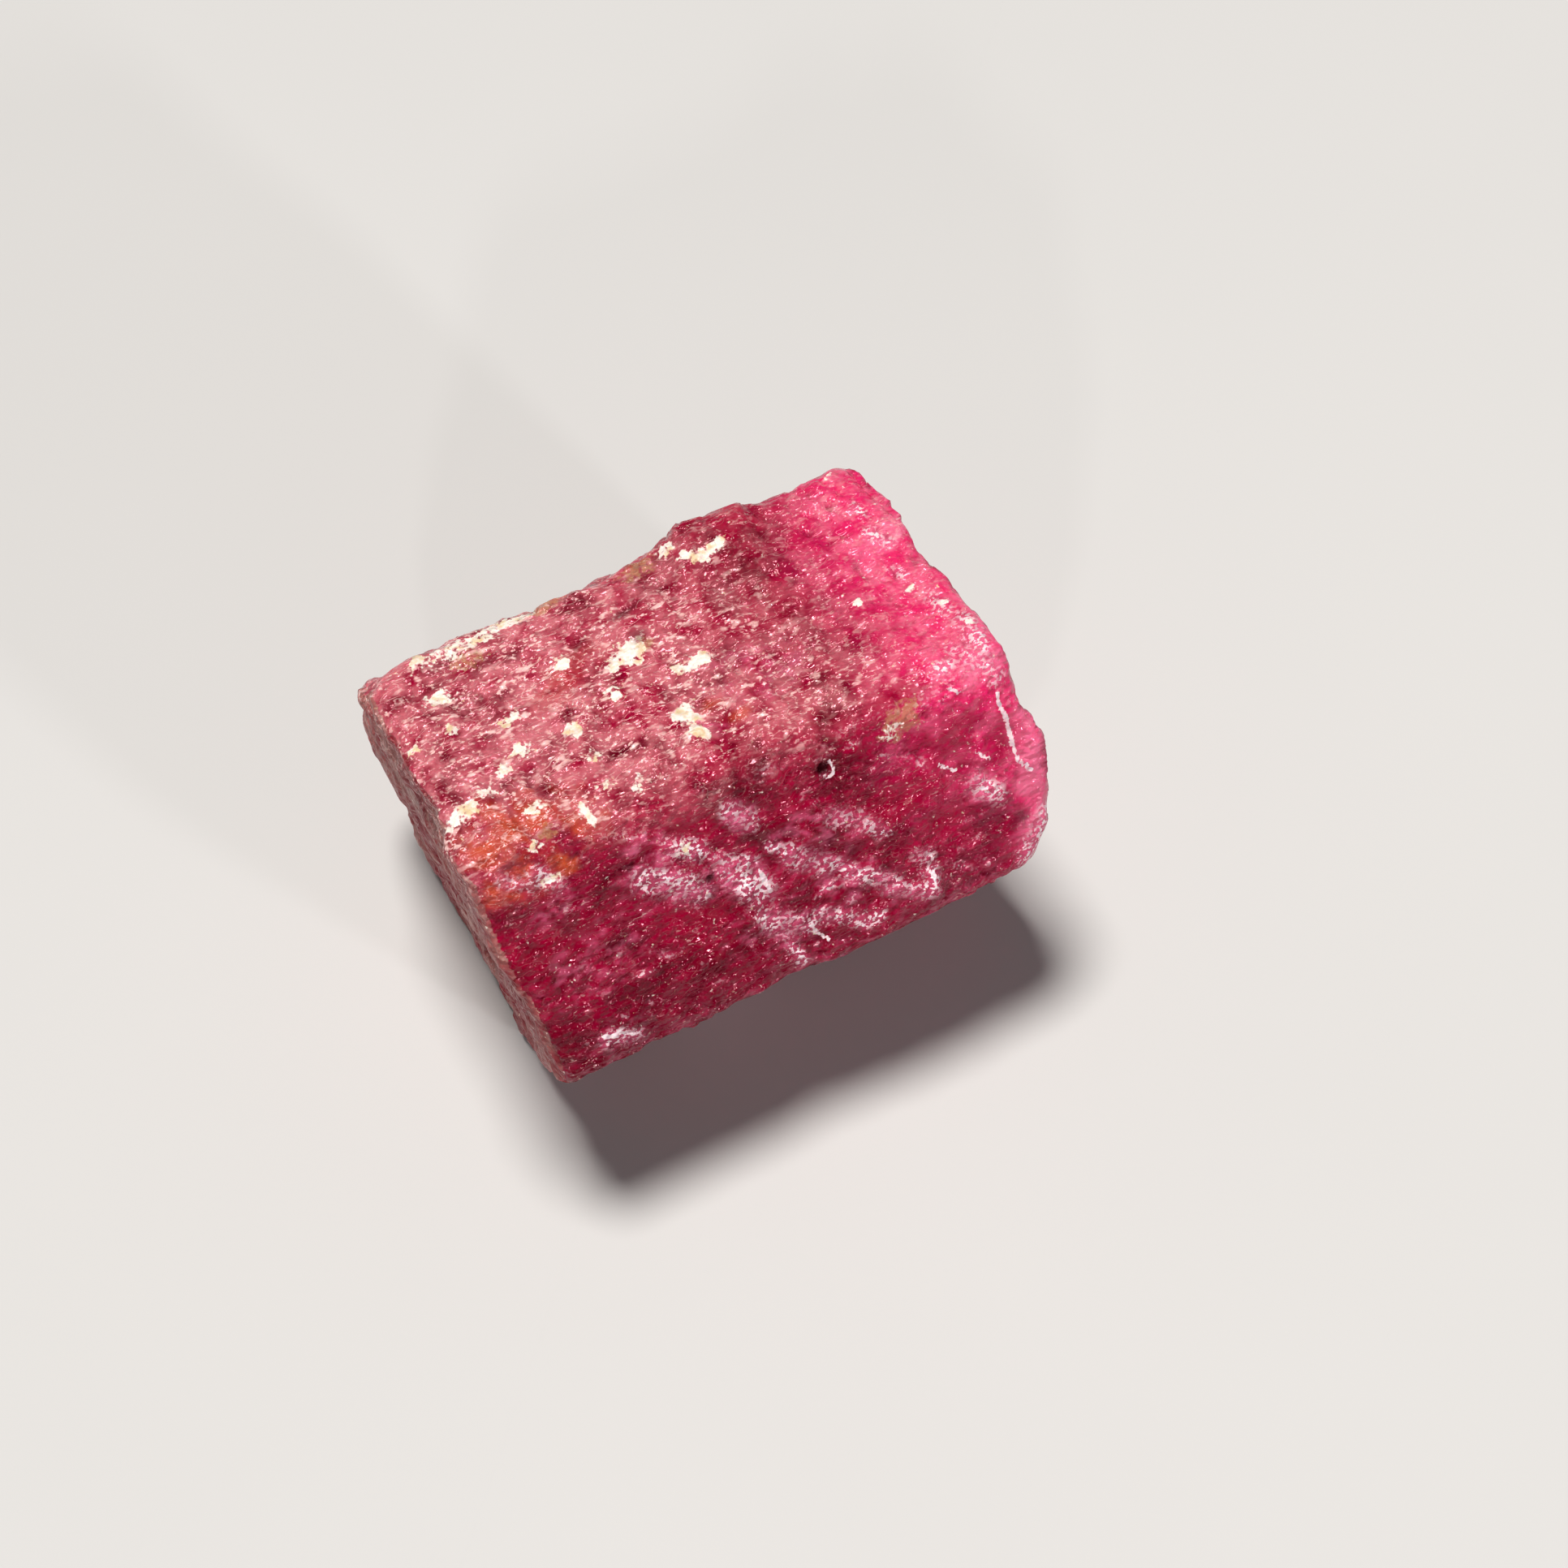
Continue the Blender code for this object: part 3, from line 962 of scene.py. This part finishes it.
                # Painted highlight: the rim is painted pale on one side only.
                beyond = (points - np.array(found[0])) @ np.array(self.highlit_rim_side)
                self.paint(Layer.VEIN_AND_GLINT, ring * smooth_step(beyond, -0.05 * MM, 0.12 * MM))
        for streak in self.streaks:
            ends = self.hit(tree, *streak.start), self.hit(tree, *streak.end)
            if None in ends:
                log.warning("no surface under the streak at %s", streak.start)
                continue
            reach = self.streak_reach(points, ends[0][0], ends[1][0]) / (streak.width / 2)
            share = smooth_step(reach + 0.35 * fine, 1.9, 0.3)
            self.paint(streak.layer, share * streak.strength)
            heights += streak.height * share
        return heights

    def paint_forms(self, points: np.ndarray, normals: np.ndarray) -> None:
        """Paints what follows the shape: the parted end, the dusty top, the clear tip, painted
        light and shade.

        Args:
            points: The surface's points.
            normals: Their normals.
        """
        along, across, up = (points / MM).T
        bend = noise_at(points, (1.9 * MM, 1.4 * MM, 1.4 * MM), 31.0)
        near_end = smooth_step(along, along.min() + 2.6, along.min() + 2.2)
        self.paint(Layer.PARTED, smooth_step(-normals[:, 0], 0.72, 0.90) * near_end)
        # Dusty rose veil on the top, partly a painted sheen: more of it the higher the point.
        dusty = smooth_step(across + 0.5 * bend, -4.3, -2.4) * smooth_step(up, 8.5, 11.2)
        fading = smooth_step(along + 0.45 * across + 1.3 * bend, 6.0, -1.0)
        self.paint(Layer.ROSE, dusty * (0.25 + 0.75 * fading))
        # Painted glow: the clear tip is painted brighter pink, more so higher up, for light
        # shining through it.
        clear = smooth_step(along - 0.12 * across + 0.7 * bend, 3.0, 6.3)
        facing_up = smooth_step(up, 7.5, 11.0)
        self.paint(Layer.GLOW, clear * (0.15 + 0.85 * facing_up))
        unseen = smooth_step(normals @ np.array(self.camera.back()), 0.12, -0.08)
        cloud = noise_at(points, (2.6 * MM, 2.2 * MM, 2.2 * MM), 41.0)
        lit = 1.0 - unseen * smooth_step(cloud, 0.35, -0.30)
        # Painted glow over the right end; on the sides turned away from the camera only in
        # patches.
        self.paint(Layer.GLOW, smooth_step(along, 6.2, 7.3) * lit)
        # Painted pale rim of light along the lower front edge, in the haze layer.
        rim = smooth_step(-across, 6.2, 6.9) * smooth_step(up, 7.6, 6.0)
        self.paint(Layer.HAZE, 0.6 * rim)
        # Painted shade on the lower front, more of it towards the left.
        shaded = smooth_step(up, 9.2, 6.6) * smooth_step(-across, 3.2, 4.4)
        leftward = smooth_step(along, 3.0, -4.0)
        self.paint(Layer.LOW, shaded * (0.45 + 0.35 * leftward))
        self.paint_unseen(points, unseen)

    def paint_unseen(self, points: np.ndarray, unseen: np.ndarray) -> None:
        """Paints the sides that the picture hides with the same things as those that it shows.

        Args:
            points: The surface's points.
            unseen: How much each point is turned away from the picture.
        """
        milky = noise_at(points, (2.4 * MM, 1.6 * MM, 1.6 * MM), 51.0)
        clear = noise_at(points, (2.8 * MM, 1.9 * MM, 1.9 * MM), 61.0)
        rusty = noise_at(points, (2.2 * MM, 1.7 * MM, 1.7 * MM), 71.0)
        dusty = noise_at(points, (3.4 * MM, 2.6 * MM, 2.6 * MM), 81.0)
        self.paint(Layer.HAZE, 0.85 * unseen * smooth_step(milky, 0.12, 0.42))
        self.paint(Layer.WORN_AND_GLINT, 0.75 * unseen * smooth_step(milky, 0.30, 0.52))
        self.paint(Layer.DEEP, 0.90 * unseen * smooth_step(clear, 0.10, 0.40))
        self.paint(Layer.STAIN, 0.80 * unseen * smooth_step(rusty, 0.30, 0.55))
        self.paint(Layer.ROSE, 0.55 * unseen * smooth_step(dusty, 0.05, 0.45))
        grains = self.scattered(points, 1.7 * MM, 0.20, 0.30 * MM)
        self.paint(Layer.CREAM, 0.80 * unseen * grains)
        pits = self.scattered(points + 0.6 * MM, 2.6 * MM, 0.12, 0.17 * MM)
        self.paint(Layer.DARK, 0.75 * unseen * pits)

    def carve(self, bm: bmesh.types.BMesh) -> None:
        """Carves the fine relief and paints every layer.

        Args:
            bm: The evened surface, whose points are moved.
        """
        flat = np.array([vert.co[:] for vert in bm.verts])
        normals = np.array([vert.normal[:] for vert in bm.verts])
        points = self.worn_points(bm, flat, normals)
        self.layers.update({layer: np.zeros(len(points)) for layer in Layer})
        raised = self.paint_marks(points, BVHTree.FromBMesh(bm))
        self.paint_forms(points, normals)
        grainy = (
            self.coarse_grain * noise_at(points, (0.95 * MM, 0.62 * MM, 0.62 * MM), 1.1)
            + self.fine_grain * noise_at(points, (0.42 * MM, 0.27 * MM, 0.27 * MM), 2.2)
        )
        broken = self.splinter_height * self.splinters(points)
        stepped = self.step_height * self.steps(points)
        uneven = grainy + broken + stepped
        parted = self.layers[Layer.PARTED]
        ends = smooth_step(np.abs(normals[:, 0]), 0.74, 0.88)
        tip = smooth_step(points[:, 0], 5.8 * MM, 7.2 * MM) * (1.0 - ends)
        calm = (1.0 - 0.50 * ends) * (1.0 - 0.65 * tip) * (1.0 - 0.5 * self.layers[Layer.DEEP])
        terrace, step_edge = self.terraces(points)
        broken_end = (self.parting_height * self.parting_lines(points)
                      + self.terrace_height * terrace)
        # Painted shade along the steps of the end terraces.
        self.paint(Layer.LOW, 0.80 * ends * step_edge)
        relief = uneven * calm + broken_end * ends + raised - self.sinking
        relief *= smooth_step(points[:, 2], 0.02 * MM, self.resting_fade)
        low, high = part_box(SOLID)
        moved = np.clip(points + normals * relief[:, None], np.array(low), np.array(high))
        for vert, place in zip(bm.verts, moved.tolist()):
            vert.co = place
        bm.normal_update()
        carved = np.array([vert.normal[:] for vert in bm.verts])
        # Painted highlight: pale on the front's upward-facing slopes of the carved relief.
        front = smooth_step(-points[:, 1], 3.4 * MM, 4.2 * MM)
        front *= smooth_step(points[:, 2], 2.0 * MM, 5.0 * MM)
        self.paint(Layer.WORN_AND_GLINT, 0.7 * front * smooth_step(carved[:, 2], 0.66, 0.92))
        # Painted shade in the hollows of the relief, less on the parted end.
        self.paint(Layer.LOW, smooth_step(uneven, -0.03 * MM, -0.12 * MM) * (1.0 - 0.6 * parted))

    def build(self, node: bpy.types.Object, finish: bpy.types.Material) -> bpy.types.Object:
        """Makes the surface, with its layers as attributes of the mesh.

        Args:
            node: The crystal's solid.
            finish: The material of the whole surface.

        Returns:
            The finished piece.
        """
        bm = self.evened(self.merged_copy(node))
        self.carve(bm)
        bmesh.ops.recalc_face_normals(bm, faces=bm.faces[:])
        mesh = bpy.data.meshes.new("ruby_crystal_surface")
        bm.to_mesh(mesh)
        bm.free()
        for layer, values in self.layers.items():
            attribute = mesh.attributes.new(layer.value, "FLOAT", "POINT")
            attribute.data.foreach_set("value", values.astype(np.float32))
        mesh.shade_smooth()
        mesh.materials.append(finish)
        piece = bpy.data.objects.new("ruby_crystal_surface", mesh)
        bpy.context.scene.collection.objects.link(piece)
        return piece


@dataclass(frozen=True)
class SurfaceEffects:
    """The shader node groups that the crystal's finish is made of."""

    def new_group(self, name: str, inputs: dict[str, str], outputs: dict[str, str]
                  ) -> tuple[bpy.types.NodeTree, bpy.types.Node, bpy.types.Node]:
        """An empty group with its sockets.

        Args:
            name: The group's name.
            inputs: The kind of each input socket by name.
            outputs: The kind of each output socket by name.

        Returns:
            The group, its input node and its output node.
        """
        group = bpy.data.node_groups.new(name, "ShaderNodeTree")
        for socket, kind in inputs.items():
            group.interface.new_socket(socket, in_out="INPUT", socket_type=kind)
        for socket, kind in outputs.items():
            group.interface.new_socket(socket, in_out="OUTPUT", socket_type=kind)
        entry = group.nodes.new("NodeGroupInput")
        exit_node = group.nodes.new("NodeGroupOutput")
        return group, entry, exit_node

    def flecks(self) -> bpy.types.NodeTree:
        """Small separate spots: where stretched noise stands above a level.

        Returns:
            The node group.
        """
        group, entry, leave = self.new_group(
            "flecks",
            {"Place": "NodeSocketVector", "Per Metre": "NodeSocketVector",
             "Level": "NodeSocketFloat", "Edge": "NodeSocketFloat"},
            {"Mask": "NodeSocketFloat"},
        )
        sheet = NodeSheet(group)
        scaled = sheet.vector("MULTIPLY", entry.outputs["Place"], entry.outputs["Per Metre"])
        cloud = sheet.noise(scaled.outputs[0], 1.0, 2.0)
        top = sheet.math("ADD", entry.outputs["Level"], entry.outputs["Edge"])
        sheet.join(sheet.ramp(cloud, entry.outputs["Level"], top), leave.inputs["Mask"])
        return group

    def threads(self) -> bpy.types.NodeTree:
        """Thin winding lines: where stretched noise crosses its middle value.

        Returns:
            The node group.
        """
        group, entry, leave = self.new_group(
            "threads",
            {"Place": "NodeSocketVector", "Per Metre": "NodeSocketVector",
             "Width": "NodeSocketFloat"},
            {"Mask": "NodeSocketFloat"},
        )
        sheet = NodeSheet(group)
        scaled = sheet.vector("MULTIPLY", entry.outputs["Place"], entry.outputs["Per Metre"])
        cloud = sheet.noise(scaled.outputs[0], 1.0, 1.5)
        away = sheet.math("ABSOLUTE", sheet.math("SUBTRACT", cloud, 0.5))
        sheet.join(sheet.ramp(away, entry.outputs["Width"], 0.0), leave.inputs["Mask"])
        return group

    def breaks(self) -> bpy.types.NodeTree:
        """Tiny flat faces, each tilted its own way, as a height from about -1 to 1.

        Returns:
            The node group.
        """
        group, entry, leave = self.new_group(
            "breaks",
            {"Place": "NodeSocketVector", "Per Metre": "NodeSocketVector"},
            {"Height": "NodeSocketFloat", "Chance": "NodeSocketFloat"},
        )
        sheet = NodeSheet(group)
        scaled = sheet.vector("MULTIPLY", entry.outputs["Place"], entry.outputs["Per Metre"])
        cells = sheet.add("ShaderNodeTexVoronoi")
        cells.inputs["Scale"].default_value = 1.0
        sheet.join(scaled.outputs[0], cells.inputs["Vector"])
        offset = sheet.vector("SUBTRACT", scaled.outputs[0], cells.outputs["Position"])
        lean = sheet.vector("SUBTRACT", cells.outputs["Color"], (0.5, 0.5, 0.5))
        height = sheet.vector("DOT_PRODUCT", offset.outputs[0], lean.outputs[0])
        sheet.join(height.outputs["Value"], leave.inputs["Height"])
        parts = sheet.add("ShaderNodeSeparateColor")
        sheet.join(cells.outputs["Color"], parts.inputs[0])
        sheet.join(parts.outputs[0], leave.inputs["Chance"])
        return group


def per_metre(along: float, side: float) -> tuple[float, float, float]:
    """How often a pattern repeats along X, and along Y and Z, for its sizes in millimetres."""
    return (1.0 / (along * MM), 1.0 / (side * MM), 1.0 / (side * MM))


@dataclass(frozen=True)
class RubyFinish:
    """Waxy rough corundum: crimson body, rose veil, pale flecks, foreign minerals, painted light
    and shade.
    """

    crimson: tuple[float, float, float, float] = (0.350, 0.0030, 0.0440, 1.0)
    deep: tuple[float, float, float, float] = (0.150, 0.0008, 0.0150, 1.0)
    clear_crimson: tuple[float, float, float, float] = (0.340, 0.0010, 0.0360, 1.0)
    rose: tuple[float, float, float, float] = (0.610, 0.182, 0.215, 1.0)
    # Colours of the painted glow on the clear tip.
    pink: tuple[float, float, float, float] = (0.800, 0.0280, 0.1650, 1.0)
    pale_pink_glow: tuple[float, float, float, float] = (0.900, 0.200, 0.340, 1.0)
    # Pale flecks, partly painted glints.
    pale_fleck_and_glint: tuple[float, float, float, float] = (0.930, 0.600, 0.570, 1.0)
    # Colour of crushed crystals, and of painted highlights and glints.
    crushed: tuple[float, float, float, float] = (0.980, 0.800, 0.830, 1.0)
    cream: tuple[float, float, float, float] = (0.930, 0.820, 0.740, 1.0)
    yellow: tuple[float, float, float, float] = (0.780, 0.600, 0.380, 1.0)
    olive: tuple[float, float, float, float] = (0.520, 0.330, 0.160, 1.0)
    orange: tuple[float, float, float, float] = (0.560, 0.100, 0.040, 1.0)
    lilac: tuple[float, float, float, float] = (0.720, 0.155, 0.275, 1.0)
    # The parted end's brownish grey, partly a painted sheen of grazing light.
    parted: tuple[float, float, float, float] = (0.400, 0.160, 0.145, 1.0)
    parted_pale: tuple[float, float, float, float] = (0.600, 0.380, 0.340, 1.0)
    parted_red: tuple[float, float, float, float] = (0.300, 0.040, 0.055, 1.0)
    black: tuple[float, float, float, float] = (0.070, 0.003, 0.009, 1.0)
    body_cloud: Cloud = Cloud(950.0, 3.0, 0.30, 0.64)
    veil_cloud: Cloud = Cloud(1700.0, 4.0, 0.28, 0.66)
    yellow_cloud: Cloud = Cloud(2600.0, 3.0, 0.48, 0.68)
    clump_cloud: Cloud = Cloud(1300.0, 3.0, 0.38, 0.60)
    strewn_cloud: Cloud = Cloud(850.0, 3.0, 0.50, 0.62)
    patch_cloud: Cloud = Cloud(1100.0, 3.0, 0.36, 0.60)
    milky_cloud: Cloud = Cloud(1700.0, 4.0, 0.42, 0.62)
    ruddy_cloud: Cloud = Cloud(620.0, 4.0, 0.38, 0.60)
    large_flecks: Spots = Spots(0.44, 0.22, 0.56, 0.14)
    small_flecks: Spots = Spots(0.16, 0.09, 0.56, 0.12)
    sparse_flecks: Spots = Spots(0.24, 0.09, 0.64, 0.05)
    sparse_strength: float = 0.45
    haze_spots: Spots = Spots(0.42, 0.30, 0.40, 0.30)
    crushed_spots: Spots = Spots(0.13, 0.10, 0.50, 0.07)
    thread_sizes: tuple[float, float] = (0.90, 0.36)
    thread_width: float = 0.013
    ragged_per_metre: float = 7000.0
    end_lines_per_metre: tuple[float, float, float] = (3200.0, 1400.0, 8000.0)
    break_sizes: tuple[float, float] = (0.22, 0.13)
    wave_sizes: tuple[float, float] = (0.29, 0.20)
    smoothest: float = 0.07
    roughness_spread: float = 0.16
    dulling: float = 0.25
    waviness: float = 1.6
    bump_depth: float = 0.09 * MM
    refraction: float = 1.77
    glow_depth: float = 1.6 * MM
    glow_reach: tuple[float, float, float] = (1.0, 0.18, 0.26)
    glow_share: float = 0.32
    shine: float = 0.20
    shine_tint: tuple[float, float, float, float] = (1.0, 0.50, 0.58, 1.0)

    def crisp(self, sheet: NodeSheet, place: bpy.types.NodeSocket, layer: Layer,
              ragged: float, level: float, edge: float = 0.09) -> bpy.types.NodeSocket:
        """A painted layer with a sharper, ragged edge.

        Args:
            sheet: The material's nodes.
            place: The point on the crystal.
            layer: The layer.
            ragged: How far noise moves the edge.
            level: The painted value that the edge follows.
            edge: Half of the change's width, as a painted value.

        Returns:
            A mask from 0 to 1.
        """
        away = sheet.math("SUBTRACT", sheet.noise(place, self.ragged_per_metre, 3.0), 0.5)
        value = sheet.scaled(away, ragged, sheet.painted(layer))
        return sheet.ramp(value, level - edge, level + edge)

    def colour(self, sheet: NodeSheet, place: bpy.types.NodeSocket,
               masks: dict[str, bpy.types.NodeSocket]) -> bpy.types.NodeSocket:
        """The surface's colour, from the body up to the foreign grains, painted light and shade
        among it.

        Args:
            sheet: The material's nodes.
            place: The point on the crystal.
            masks: Where the small patterns lie, by name.

        Returns:
            The colour's socket.
        """
        glow, haze = sheet.painted(Layer.GLOW), sheet.painted(Layer.HAZE)
        low, worn = sheet.painted(Layer.LOW), sheet.painted(Layer.WORN_AND_GLINT)
        olive = self.crisp(sheet, place, Layer.OLIVE, 2.0, 0.55, 0.25)
        body = sheet.coated(
            sheet.blend(sheet.clouded(place, self.body_cloud), self.deep, self.crimson),
            # Painted glow: pinks over the clear tip, paler where it is milky.
            (self.pink, glow, 0.90),
            (self.pale_pink_glow, sheet.math("MULTIPLY", glow, masks["milky"]), 0.55),
            (self.clear_crimson, sheet.painted(Layer.DEEP), 0.80),
            # Rose veil on the top, partly a painted sheen.
            (self.rose, sheet.painted(Layer.ROSE), sheet.clouded(place, self.veil_cloud)),
            (self.lilac, haze, masks["haze"]),
            # Painted glow: paler pink where haze lies on the clear tip.
            (self.pale_pink_glow, sheet.math("MULTIPLY", haze, glow), 0.85),
            (self.orange, sheet.painted(Layer.STAIN), masks["patch"]),
            # Painted shade: the deep colour laid over the shade layer.
            (self.deep, low, 0.70),
            # Pale flecks and thin bright threads, partly painted glints, mostly on the top.
            (self.pale_fleck_and_glint, masks["pale_fleck_and_glint"], 1.0),
            (self.pale_fleck_and_glint, masks["thread_and_glint"], 1.0),
            # Crushed crystals and painted highlights, in lilac and pale specks.
            (self.lilac, worn, 0.42),
            (self.crushed, worn, masks["crushed"]),
            (self.olive, olive, 0.50),
        )
        parted = sheet.coated(
            # The parted end: brownish grey partly as a painted sheen of grazing light.
            self.parted,
            (self.parted_red, masks["ruddy"], 1.0),
            (self.parted_pale, masks["lined"], 0.60),
            # Painted shade along the parted end's terrace steps.
            (self.parted_red, low, 0.45),
            (self.pale_fleck_and_glint, masks["pale_fleck_and_glint"], 1.0),
        )
        grains = sheet.blend(sheet.clouded(place, self.yellow_cloud), self.cream, self.yellow)
        return sheet.coated(
            body,
            (parted, self.crisp(sheet, place, Layer.PARTED, 1.0, 0.45), 1.0),
            # White lines, and the painted highlight on one side of a pit's rim.
            (self.crushed, self.crisp(sheet, place, Layer.VEIN_AND_GLINT, 1.2, 0.70), 0.85),
            (grains, self.crisp(sheet, place, Layer.CREAM, 2.2, 0.5, 0.16), 1.0),
            # Dark spots and pits, inside pits partly painted shade.
            (self.black, sheet.painted(Layer.DARK), 1.0),
        )

    def masks(self, sheet: NodeSheet, place: bpy.types.NodeSocket,
              effects: SurfaceEffects) -> dict[str, bpy.types.NodeSocket]:
        """Where the small patterns lie, by name.

        Args:
            sheet: The material's nodes.
            place: The point on the crystal.
            effects: Where the node groups come from.

        Returns:
            One mask for each pattern.
        """
        flecks, threads = effects.flecks(), effects.threads()

        def spotted(spots: Spots) -> bpy.types.NodeSocket:
            """Where spots of one kind lie."""
            return sheet.placed(flecks, Place=place, Per_Metre=per_metre(spots.along, spots.side),
                                Level=spots.level, Edge=spots.edge).outputs["Mask"]

        rose = sheet.painted(Layer.ROSE)
        # Flecks gather on the rose-veiled top, where they partly stand for painted glints.
        both = sheet.math("MAXIMUM", spotted(self.large_flecks), spotted(self.small_flecks))
        dusty = sheet.math("MULTIPLY", both, sheet.scaled(rose, 0.96, 0.04))
        clump = sheet.scaled(sheet.clouded(place, self.clump_cloud), 0.70, 0.30)
        strewn = sheet.clouded(place, self.strewn_cloud)
        sparse = sheet.math("MULTIPLY", spotted(self.sparse_flecks), strewn)
        sparse = sheet.math("MULTIPLY", sparse, self.sparse_strength)
        patch = sheet.clouded(place, self.patch_cloud)
        lines = sheet.placed(threads, Place=place, Per_Metre=per_metre(*self.thread_sizes),
                             Width=self.thread_width).outputs["Mask"]
        thready = sheet.scaled(rose, 0.50, 0.12)
        lined = sheet.placed(flecks, Place=place, Per_Metre=self.end_lines_per_metre,
                             Level=0.47, Edge=0.16).outputs["Mask"]
        return {
            "pale_fleck_and_glint": sheet.math("MAXIMUM", sheet.math("MULTIPLY", dusty, clump), sparse),
            "thread_and_glint": sheet.math("MULTIPLY", sheet.math("MULTIPLY", lines, patch), thready),
            "haze": spotted(self.haze_spots),
            "crushed": sheet.math("MULTIPLY", spotted(self.crushed_spots), clump),
            "patch": patch,
            "milky": sheet.clouded(place, self.milky_cloud),
            "lined": sheet.math("MULTIPLY", lined, clump),
            "ruddy": sheet.clouded(place, self.ruddy_cloud),
        }

    def build(self, effects: SurfaceEffects) -> bpy.types.Material:
        """Makes the material.

        Args:
            effects: Where the node groups come from.

        Returns:
            The material.
        """
        material = bpy.data.materials.new("rough_ruby")
        material.use_nodes = True
        sheet = NodeSheet(material.node_tree)
        shader = material.node_tree.nodes["Principled BSDF"]
        place = sheet.add("ShaderNodeTexCoord").outputs["Object"]
        masks = self.masks(sheet, place, effects)
        sheet.join(self.colour(sheet, place, masks), shader.inputs["Base Color"])
        tiny = sheet.placed(effects.breaks(), Place=place, Per_Metre=per_metre(*self.break_sizes))
        rough = sheet.scaled(tiny.outputs["Chance"], self.roughness_spread, self.smoothest)
        dull = sheet.math("MAXIMUM", sheet.painted(Layer.PARTED), sheet.painted(Layer.CREAM))
        sheet.join(sheet.scaled(dull, self.dulling, rough), shader.inputs["Roughness"])
        wavy = sheet.vector("MULTIPLY", place, per_metre(*self.wave_sizes)).outputs[0]
        height = sheet.scaled(sheet.noise(wavy, 1.0, 1.0), self.waviness, tiny.outputs["Height"])
        crystalline = sheet.scaled(sheet.painted(Layer.DEEP), -0.50, 1.0)
        crystalline = sheet.scaled(sheet.painted(Layer.WORN_AND_GLINT), 0.40, crystalline)
        bump = sheet.add("ShaderNodeBump")
        bump.inputs["Strength"].default_value = 1.0
        bump.inputs["Distance"].default_value = self.bump_depth
        sheet.join(sheet.math("MULTIPLY", height, crystalline), bump.inputs["Height"])
        sheet.join(bump.outputs["Normal"], shader.inputs["Normal"])
        shader.inputs["IOR"].default_value = self.refraction
        shader.inputs["Specular IOR Level"].default_value = self.shine
        shader.inputs["Specular Tint"].default_value = self.shine_tint
        shader.inputs["Subsurface Weight"].default_value = self.glow_share
        shader.inputs["Subsurface Radius"].default_value = self.glow_reach
        shader.inputs["Subsurface Scale"].default_value = self.glow_depth
        return material


def main() -> None:
    """Builds the crystal, its studio and its camera, and reports each piece."""
    logging.basicConfig(level=logging.INFO, format="%(name)s: %(message)s")
    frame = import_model()
    camera = PictureCamera()
    camera.build()
    floor = Studio().build()
    finish = RubyFinish().build(SurfaceEffects())
    crystal = CrystalSurface(camera).build(frame["nodes"][SOLID], finish)
    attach(crystal, BODY)
    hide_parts(SOLID)
    view = bpy.context.scene.view_settings
    view.view_transform, view.look = "Standard", "Medium High Contrast"
    log.info("%s: %d points, %d faces", crystal.name, len(crystal.data.vertices),
             len(crystal.data.polygons))


if __name__ == "__main__":
    main()
